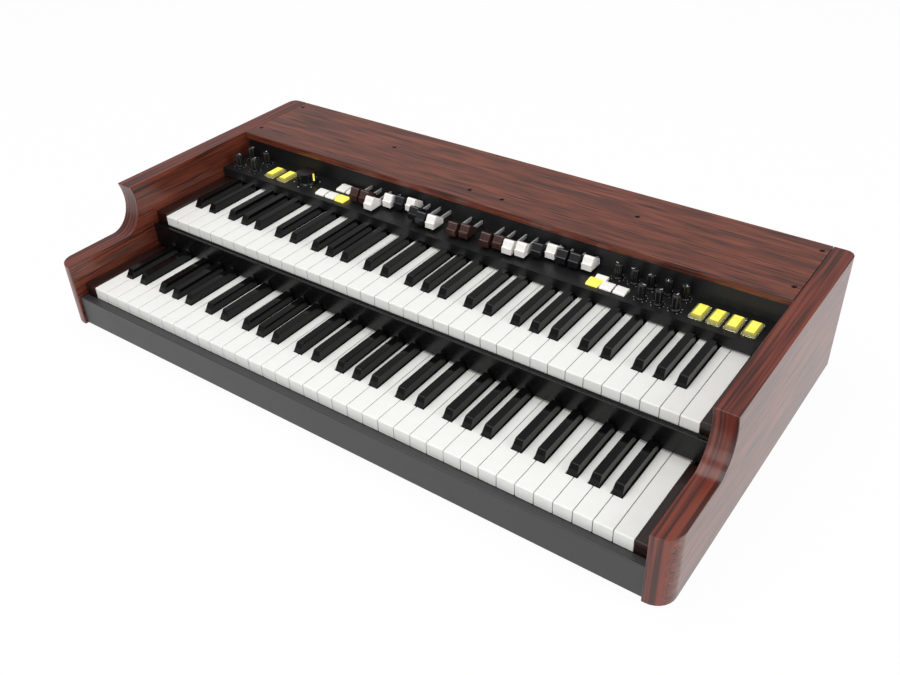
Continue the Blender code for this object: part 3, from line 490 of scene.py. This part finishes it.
keys = {"edge": 0.0005, "blackEdge": 0.0011, "octaves": 5}
keyMeshes = {}
for note in noteNames:
    black = len(note) == 2
    edge = keys["blackEdge"] if black else keys["edge"]
    keyMeshes[note] = shaped(mergedCopy("key_" + note), None, edge, 2, 40.0)
    finish = ebony if black else ivory
    piece = newPiece("playedKey" + note.title(), keyMeshes[note].copy(), finish, "key_" + note)
    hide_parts("key_" + note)


topKey = {
    "lip": 0.0014,
    "lipShare": 0.3,
    "shank": 0.0087,
    "skirt": 0.014,
    "skirtEnd": 0.058,      # from the key's rear end
    "shankStart": 0.038,
    "wall": 0.004,
    "wallFoot": 0.0028,
}


def topKeyMesh():
    lip = topKey["lip"]
    share = lip * topKey["lipShare"]
    shank = whiteTop - topKey["shank"]
    skirt = whiteTop - topKey["skirt"]
    back = highC[1]
    front = keyFront
    height = highC[2] - lowC[2]
    outline = [(front, whiteTop - height), (front, whiteTop - lip), (front + share, whiteTop - share),
               (front + lip, whiteTop), (back, whiteTop), (back, shank), (back - topKey["shankStart"], shank),
               (back - topKey["skirtEnd"], skirt), (front + topKey["wall"], skirt),
               (front + topKey["wallFoot"], whiteTop - height)]
    return shaped(profileMesh(outline, lowC[0], highC[0]), None, keys["edge"], 2, 40.0)


def keyRow(upper):
    shift = Vector((0.0, manualSetback, manualRise)) if upper else Vector((0.0, 0.0, 0.0))
    count = keys["octaves"]
    steps = range(-(count - 1), 1 if upper else 0)
    rows = {True: [], False: []}
    for note in noteNames:
        black = len(note) == 2
        points = [shift + Vector((step * octave, 0.0, 0.0)) for step in steps]
        rows[black].append(placed(keyMeshes[note], points, ebony if black else ivory))
    rows[False].append(placed(topKeyMesh(), [shift + Vector((octave, 0.0, 0.0))], ivory))
    return rows


keyBed = {
    "setback": 0.0034,
    "deckDrop": 0.034,
    "sheet": 0.0025,
    "stop": (0.008, 0.003),    # depth and height of the step under the keys' fronts
    "ridgeDrop": 0.0093,
    "ridgeCrest": 0.0015,
    "ridgeFoot": 0.009,
    "keyTail": 0.008,          # what a key reaches beyond its pivot
    "tail": 0.014,
    "leg": 0.003,
    "legs": (0.0, 0.0737, 0.1474),
    "rearLeg": 0.0050,
    "firstUpperLeg": 0.09,     # the upper bed has no leg nearer to its front
    "edge": 0.0003,
}


def bedMesh(upper):
    shiftY = manualSetback if upper else 0.0
    shiftZ = manualRise if upper else 0.0
    low, high = (lowUpper, highUpper) if upper else (lowBed, highBed)
    start = keyFront + shiftY + keyBed["setback"]
    deck = whiteTop - keyBed["deckDrop"] + shiftZ
    under = deck - keyBed["sheet"]
    ridge = whiteTop - keyBed["ridgeDrop"] + shiftZ
    pivot = highC[1] - keyBed["keyTail"] + shiftY
    end = pivot + keyBed["tail"]
    depth, rise = keyBed["stop"]
    crest = keyBed["ridgeCrest"]
    foot = keyBed["ridgeFoot"]
    outline = [(start, under), (start, deck + rise), (start + depth, deck + rise), (start + depth, deck),
               (pivot - foot, deck), (pivot - crest, ridge), (pivot + crest, ridge), (pivot + foot, deck),
               (end, deck), (end, under)]
    meshes = [profileMesh(outline, low[0], high[0])]
    for y in [start + place for place in keyBed["legs"]] + [end - keyBed["rearLeg"]]:
        if not upper or y > start + keyBed["firstUpperLeg"]:
            meshes.append(boxMesh((low[0], y, low[2]), (high[0], y + keyBed["leg"], under)))
    return shaped(joinMeshes(meshes), None, keyBed["edge"], 1, 40.0)


for upper in (False, True):
    word = "Upper" if upper else "Lower"
    rows = keyRow(upper)
    whites = newPiece("whiteKeys" + word, joinMeshes(rows[False]), ivory, "case")
    newPiece("blackKeys" + word, joinMeshes(rows[True]), ebony, "case")
    newPiece("keyDeck" + word, bedMesh(upper), chassis, "case")
    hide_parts("keybed_upper" if upper else "keybed_lower")
print("keys ready")


# Control panel: the folded sheet, with its slots and wells

panelInfo = {
    "sheet": 0.002,
    "depth": 0.0595,
    "lip": 0.0152,
    "top": 0.1337,
    "lean": 0.006,
    "lipReturn": 0.012,
    "cut": 0.01,            # how far a cutter reaches above and below the sheet
    "gap": 0.0003,
    "shaftHole": 0.0033,
}
stemSlot = {"halfWidth": 0.0018, "halfHeight": 0.0031, "rise": 0.0075, "before": 0.004, "behind": 0.012}
panelFront = lowPanel[1]
panelTop = panelInfo["top"]
stripY = panelFront + panelInfo["depth"]
litNames = ["left_1", "left_2", "right_1", "right_2", "right_3", "right_4"]
litBoxes = [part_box("lit_button_" + name) for name in litNames]
drawbarNames = [name for name in nodes if name.startswith("drawbar_")]
selectorLow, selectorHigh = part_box("selector_knob")
selectorX = (selectorLow[0] + selectorHigh[0]) / 2
selectorY = (selectorLow[1] + selectorHigh[1]) / 2


def panelMesh():
    t = panelInfo["sheet"]
    cut = panelInfo["cut"]
    gap = panelInfo["gap"]
    low = panelTop - panelInfo["lip"]
    back = panelFront + panelInfo["lipReturn"]
    leanTop = stripY + panelInfo["lean"]
    strip = Vector((panelInfo["lean"], highPanel[2] - panelTop)).normalized()
    side = Vector((strip.y, -strip.x)) * t
    outline = [(back, low), (panelFront, low), (panelFront, panelTop), (stripY, panelTop),
               (leanTop, highPanel[2]), (leanTop + side.x, highPanel[2]), (stripY + side.x, panelTop - t),
               (panelFront + t, panelTop - t), (panelFront + t, low + t), (back, low + t)]
    holes = []
    for low3, high3 in litBoxes:
        holes.append(boxMesh((low3[0] - gap, low3[1] - gap, panelTop - cut),
                             (high3[0] + gap, high3[1] + gap, panelTop + cut)))
    z = panelTop + stemSlot["rise"]
    halfX = stemSlot["halfWidth"]
    halfZ = stemSlot["halfHeight"]
    for name in drawbarNames:
        low3, high3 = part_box(name)
        x = (low3[0] + high3[0]) / 2
        holes.append(boxMesh((x - halfX, stripY - stemSlot["before"], z - halfZ),
                             (x + halfX, stripY + stemSlot["behind"], z + halfZ)))
    radius = panelInfo["shaftHole"]
    hole = turnedMesh([(radius, panelTop - cut), (radius, panelTop + cut)], 24)
    hole.transform(Matrix.Translation((selectorX, selectorY, 0.0)))
    holes.append(hole)
    return shaped(profileMesh(outline, lowPanel[0], highPanel[0]), joinMeshes(holes))


panel = newPiece("controlPanel", panelMesh(), panelPaint, "case")
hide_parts("control_panel")

bezel = {"wall": 0.0016, "height": 0.0034, "foot": 0.0002, "gap": 0.0003, "edge": 0.0006}
litCap = {"edge": 0.0007, "padInset": 0.0016, "padSeat": 0.0006, "padRise": 0.0002, "padEdge": 0.0004}


def bezelMesh(low3, high3):
    gap = bezel["gap"]
    reach = gap + bezel["wall"]
    cut = panelInfo["cut"]
    outer = boxMesh((low3[0] - reach, low3[1] - reach, panelTop + bezel["foot"]),
                    (high3[0] + reach, high3[1] + reach, panelTop + bezel["height"]))
    inner = boxMesh((low3[0] - gap, low3[1] - gap, panelTop - cut),
                    (high3[0] + gap, high3[1] + gap, panelTop + cut * 2))
    return shaped(outer, inner, bezel["edge"], 2, 40.0)


bezels = joinMeshes([bezelMesh(low3, high3) for low3, high3 in litBoxes])
newPiece("buttonBezels", bezels, clearPlastic, "case")
for name, (low3, high3) in zip(litNames, litBoxes):
    body = "lit_button_" + name
    word = name.replace("_", "").title()
    capMesh = shaped(mergedCopy(body), None, litCap["edge"], 2, 25.0)
    cap = newPiece("litCap" + word, capMesh, litOlive, body)
    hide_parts("lit_button_" + name)
    inset = litCap["padInset"]
    pad = boxMesh((low3[0] + inset, low3[1] + inset, high3[2] - litCap["padSeat"]),
                  (high3[0] - inset, high3[1] - inset, high3[2] + litCap["padRise"]))
    newPiece("litPad" + word, shaped(pad, None, litCap["padEdge"]), litYellow, body)

knob = {
    "outline": [(0.0068, 0.0002), (0.0071, 0.0010), (0.0069, 0.0019), (0.0058, 0.0026), (0.0056, 0.0034),
                (0.0055, 0.0190), (0.0050, 0.0204), (0.0036, 0.0209), (0.0033, 0.0206)],
    "flutes": 14,
    "dip": 0.0007,
    "turn": 0.7,            # radians from one knob to the next
}
knobRows = {
    "rear": 0.0455,
    "front": 0.0180,
    "left": (-0.4230, -0.3900),
    "rightStart": 0.2280,
    "pitch": 0.0227,
}
knobPlaces = [(x, knobRows[row]) for x in knobRows["left"] for row in ("front", "rear")]
rightColumns = [knobRows["rightStart"] + knobRows["pitch"] * step for step in range(5)]
knobPlaces += [(x, knobRows["rear"]) for x in rightColumns]
knobPlaces += [(x, knobRows["front"]) for x in rightColumns[2:]]
knobMesh = turnedMesh(knob["outline"], 56, knob["flutes"], knob["dip"])
knobMesh.shade_smooth()
knobMesh.set_sharp_from_angle(angle=math.radians(50.0))
knobPoints = [(x, panelFront + y, panelTop) for x, y in knobPlaces]
knobsMesh = placed(knobMesh, knobPoints, knobBlack, knob["turn"])
newPiece("smallKnobs", knobsMesh, knobBlack, "case")

knobDots = {"radius": 0.0005, "height": 0.0001, "ring": 0.0088, "first": -140, "step": 40, "count": 8}
dotMesh = turnedMesh([(knobDots["radius"], 0.0), (knobDots["radius"], knobDots["height"])], 10)
dotPoints = []
for x, y in knobPlaces:
    for step in range(knobDots["count"]):
        angle = math.radians(knobDots["first"] + knobDots["step"] * step)
        dotPoints.append((x + knobDots["ring"] * math.sin(angle),
                          panelFront + y + knobDots["ring"] * math.cos(angle), panelTop))
newPiece("knobDots", placed(dotMesh, dotPoints, legend), legend, "case")

knobLine = {"inner": 0.0008, "outer": 0.0048, "halfWidth": 0.0004, "low": 0.0208, "high": 0.0210}
lineMesh = shaped(boxMesh((knobLine["inner"], -knobLine["halfWidth"], knobLine["low"]),
                          (knobLine["outer"], knobLine["halfWidth"], knobLine["high"])))
newPiece("knobLines", placed(lineMesh, knobPoints, legend, knob["turn"]), legend, "case")

tabs = {
    "width": 0.0166,
    "reach": 0.0082,
    "columns": [0.2095, 0.2285, 0.2475],
    "frontRow": 0.0165,
    "rearRow": 0.0440,
    "rearSize": 1.25,
    "single": (0.2135, 0.0300, 0.62),    # x, row and size of the small tab by itself
    "side": ((-1.0, 0.0002), (-1.0, 0.0020), (-0.80, 0.0036), (0.5, 0.0052), (0.93, 0.0042), (1.0, 0.0002)),
    "edge": 0.0007,
}


def tabMesh(x, y, size=1.0):  # the side's points are shares of the reach and heights over the panel
    reach = tabs["reach"] * size
    side = [(y + reach * share, panelTop + rise) for share, rise in tabs["side"]]
    half = tabs["width"] / 2
    return shaped(profileMesh(side, x - half, x + half), None, tabs["edge"], 2, 25.0)


whiteTabs = []
litTabs = []
for side in (-1, 1):
    for order, column in enumerate(tabs["columns"]):
        mesh = tabMesh(side * column, panelFront + tabs["frontRow"])
        (litTabs if order == 0 else whiteTabs).append(mesh)
for column in tabs["columns"][:2]:
    whiteTabs.append(tabMesh(-column, panelFront + tabs["rearRow"], tabs["rearSize"]))
singleX, singleRow, singleSize = tabs["single"]
whiteTabs.append(tabMesh(singleX, panelFront + singleRow, singleSize))
newPiece("whiteTabs", joinMeshes(whiteTabs), capWhite, "case")
newPiece("litTabs", joinMeshes(litTabs), litYellow, "case")
print("panel ready")


# Drawbars: caps in their colours on steel stems

drawbar = {"edge": 0.0008, "capDepth": 0.0243}
drawbarOrder = ["brown", "brown", "white", "white", "black", "white", "black", "black", "white"]
drawbarFinish = {"brown": capBrown, "white": capWhite, "black": capBlack}
for name in drawbarNames:
    number = int(name.rsplit("_", 1)[1])
    word = "brown" if "pedal" in name else drawbarOrder[number - 1]
    mesh = shaped(mergedCopy(name), None, drawbar["edge"], 2, 28.0)
    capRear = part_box(name)[0][1] + drawbar["capDepth"]
    mesh.materials.clear()
    mesh.materials.append(drawbarFinish[word])
    mesh.materials.append(steel)
    for face in mesh.polygons:
        face.material_index = 1 if face.center.y > capRear else 0
    bar = newPiece("drawbar" + name[8:].replace("_", "").title(), mesh, None, name)
    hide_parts(name)
print("drawbars ready")


# Selector with its lit pointer and printed dots

selector = {
    "edge": 0.0003,
    "pointer": (0.0024, 0.0004),      # from the knob's rim to the pointer's inner and outer end
    "pointerHalf": 0.0010,
    "pointerLow": 0.0060,
    "pointerHigh": 0.0172,
    "dotRadius": 0.0009,
    "dotHeight": 0.00012,
    "dotRing": 0.0200,
    "dotFirst": -30,
    "dotStep": 60,
    "dots": 6,
}
refine("selector_knob", "selectorKnob", knobBlack, "selector_knob", selector["edge"])
inner, outer = selector["pointer"]
half = selector["pointerHalf"]
pointer = boxMesh((selectorHigh[0] - inner, selectorY - half, panelTop + selector["pointerLow"]),
                  (selectorHigh[0] - outer, selectorY + half, panelTop + selector["pointerHigh"]))
newPiece("selectorPointer", shaped(pointer, None, selector["edge"]), litYellow, "selector_knob")
dotMesh = turnedMesh([(selector["dotRadius"], 0.0), (selector["dotRadius"], selector["dotHeight"])], 16)
dotPoints = []
for step in range(selector["dots"]):
    angle = math.radians(selector["dotFirst"] + selector["dotStep"] * step)
    dotPoints.append((selectorX + selector["dotRing"] * math.cos(angle),
                      selectorY + selector["dotRing"] * math.sin(angle), panelTop))
newPiece("selectorDots", placed(dotMesh, dotPoints, legend), legend, "case")


# Screws

def screwMesh():
    r = screw["radius"]
    rise = screw["rise"]
    head = turnedMesh([(r, -0.0004), (r, 0.0001), (r * 0.9, rise * 0.7), (r * 0.5, rise)], 20)
    arm = screw["reach"]
    half = screw["slot"] / 2
    corners = [(arm, half), (half, half), (half, arm), (-half, arm), (-half, half), (-arm, half)]
    corners += [(-u, -v) for u, v in corners]
    return shaped(head, profileMesh(corners, 0.0001, 0.0020, "z"))


def screwRow(name, mesh, points, turn=0.0):
    newPiece(name, placed(mesh, points, screwBlack, turn), screwBlack, "case")


headMesh = screwMesh()
screwRow("topScrews", headMesh, [(x, y, highTop[2] - screw["sink"]) for x, y in screwPlaces], 0.9)
rearHead = headMesh.copy()
rearHead.transform(Matrix.Rotation(math.radians(-90), 4, "X"))
rearColumns = (-0.425, -0.2125, 0.0, 0.2125, 0.425)
screwRow("rearScrews", rearHead, [(x, highRear[1], z) for x in rearColumns for z in (0.020, 0.150)])
underHead = headMesh.copy()
underHead.transform(Matrix.Rotation(math.radians(180), 4, "X"))
underColumns = (-0.43, -0.215, 0.0, 0.215, 0.43)
screwRow("underScrews", underHead, [(x, y, lowPan[2]) for x in underColumns for y in (-0.235, 0.0, 0.232)])
print("screws ready")


# Socket nuts at the back

nut = {
    "outer": 0.0068,
    "inner": 0.0036,
    "thick": 0.0016,
    "edge": 0.0002,
    "cut": 0.01,
    "first": 0.060,
    "pitch": 0.030,
    "count": 4,
    "height": 0.0585,
    "gap": 0.0001,
}


def nutMesh():
    outer = turnedMesh([(nut["outer"], 0.0), (nut["outer"], nut["thick"])], 6)
    bore = turnedMesh([(nut["inner"], -nut["cut"]), (nut["inner"], nut["cut"])], 24)
    mesh = shaped(outer, bore, nut["edge"], 1, 40.0)
    mesh.transform(Matrix.Rotation(math.radians(-90), 4, "X"))
    return mesh


nutColumns = [nut["first"] + nut["pitch"] * step for step in range(nut["count"])]
nutPoints = [(x, highRear[1] + nut["gap"], nut["height"]) for x in nutColumns]
newPiece("socketNuts", placed(nutMesh(), nutPoints, steel), steel, "case")


# Nodes that keep their own shape

kept = {
    "base_pan": panPaint,
    "rear_panel": panPaint,
    "main_board": board,
    "mains_inlet": moulding,
    "power_switch": moulding,
    "foot_front_left": rubber,
    "foot_front_right": rubber,
    "foot_rear_left": rubber,
    "foot_rear_right": rubber,
}
for name, finish in kept.items():
    for place in nodes[name].material_slots:
        place.material = finish
print("kept nodes painted")


# Camera, light and floor

camera = {
    "place": (0.67328, -0.85853, 0.78966),
    "aim": (0.13732, -0.14389, 0.14775),
    "roll": 2.0910,         # degrees
    "lens": 38.39,
    "sensor": 36.0,
    "near": 0.01,
}


def addCamera():
    data = bpy.data.cameras.new("photoView")
    data.lens = camera["lens"]
    data.sensor_width = camera["sensor"]
    data.clip_start = camera["near"]
    view = bpy.data.objects.new("photoView", data)
    bpy.context.scene.collection.objects.link(view)
    view.location = camera["place"]
    level = (Vector(camera["aim"]) - Vector(camera["place"])).to_track_quat("-Z", "Y")
    view.rotation_euler = (level @ Quaternion((0.0, 0.0, 1.0), math.radians(-camera["roll"]))).to_euler()
    bpy.context.scene.camera = view


studio = {
    "worldLight": 0.42,     # what the world sheds on the object
    "worldSeen": 0.96,      # what the camera sees of it
    "floorSeen": 0.96,      # share of plain white in the floor that the camera and reflections see
    "floorReach": 9.0,
    "floorThickness": 0.02,
    "floorGap": 0.0004,
}
lamps = [
    {"name": "overhead", "place": (-0.5, -0.2, 2.4), "aim": (0.0, 0.0, 0.1), "size": 2.2, "power": 34.0},
    {"name": "frontFill", "place": (0.6, -2.4, 1.2), "aim": (0.0, 0.0, 0.1), "size": 1.6, "power": 22.0},
    {"name": "rightFill", "place": (2.6, 0.2, 1.1), "aim": (0.3, 0.0, 0.1), "size": 1.6, "power": 26.0},
]


def addLamp(info):
    data = bpy.data.lights.new(info["name"], "AREA")
    data.size = info["size"]
    data.energy = info["power"]
    lamp = bpy.data.objects.new(info["name"], data)
    bpy.context.scene.collection.objects.link(lamp)
    lamp.location = info["place"]
    lamp.rotation_euler = (Vector(info["aim"]) - Vector(info["place"])).to_track_quat("-Z", "Y").to_euler()


def addWorld():
    world = bpy.data.worlds.new("studio")
    world.use_nodes = True
    ground = world.node_tree.nodes["Background"]
    ground.inputs["Color"].default_value = (1.0, 1.0, 1.0, 1.0)
    path = addNode(world.node_tree, "ShaderNodeLightPath")
    extra = studio["worldSeen"] - studio["worldLight"]
    level = addNode(world.node_tree, "ShaderNodeMath", {1: extra, 2: studio["worldLight"]},
                    operation="MULTIPLY_ADD")
    world.node_tree.links.new(path.outputs["Is Camera Ray"], level.inputs[0])
    world.node_tree.links.new(level.outputs[0], ground.inputs["Strength"])
    bpy.context.scene.world = world


def addFloor():
    reach = studio["floorReach"]
    mesh = boxMesh((-reach, -reach, -studio["floorThickness"]), (reach, reach, -studio["floorGap"]))
    floor = bpy.data.objects.new("floor", mesh)
    bpy.context.scene.collection.objects.link(floor)
    made, tree, shader = newMaterial("floorWhite", (0.9, 0.9, 0.9, 1.0), 0.9)
    out = tree.nodes["Material Output"]
    glow = addNode(tree, "ShaderNodeEmission", {"Color": (1.0, 1.0, 1.0, 1.0), "Strength": 1.0})
    path = addNode(tree, "ShaderNodeLightPath")
    seen = addNode(tree, "ShaderNodeMath", operation="MAXIMUM")
    seenToo = addNode(tree, "ShaderNodeMath", operation="MAXIMUM")
    share = addNode(tree, "ShaderNodeMath", {1: studio["floorSeen"]}, operation="MULTIPLY")
    mix = addNode(tree, "ShaderNodeMixShader")
    tree.links.new(path.outputs["Is Camera Ray"], seen.inputs[0])
    tree.links.new(path.outputs["Is Glossy Ray"], seen.inputs[1])
    tree.links.new(seen.outputs[0], seenToo.inputs[0])
    tree.links.new(path.outputs["Is Transmission Ray"], seenToo.inputs[1])
    tree.links.new(seenToo.outputs[0], share.inputs[0])
    tree.links.new(share.outputs[0], mix.inputs[0])
    tree.links.new(shader.outputs[0], mix.inputs[1])
    tree.links.new(glow.outputs[0], mix.inputs[2])
    tree.links.new(mix.outputs[0], out.inputs["Surface"])
    floor.data.materials.append(made)


addCamera()
for info in lamps:
    addLamp(info)
addWorld()
addFloor()
bpy.context.scene.view_settings.view_transform = "Standard"
print("camera and light ready")
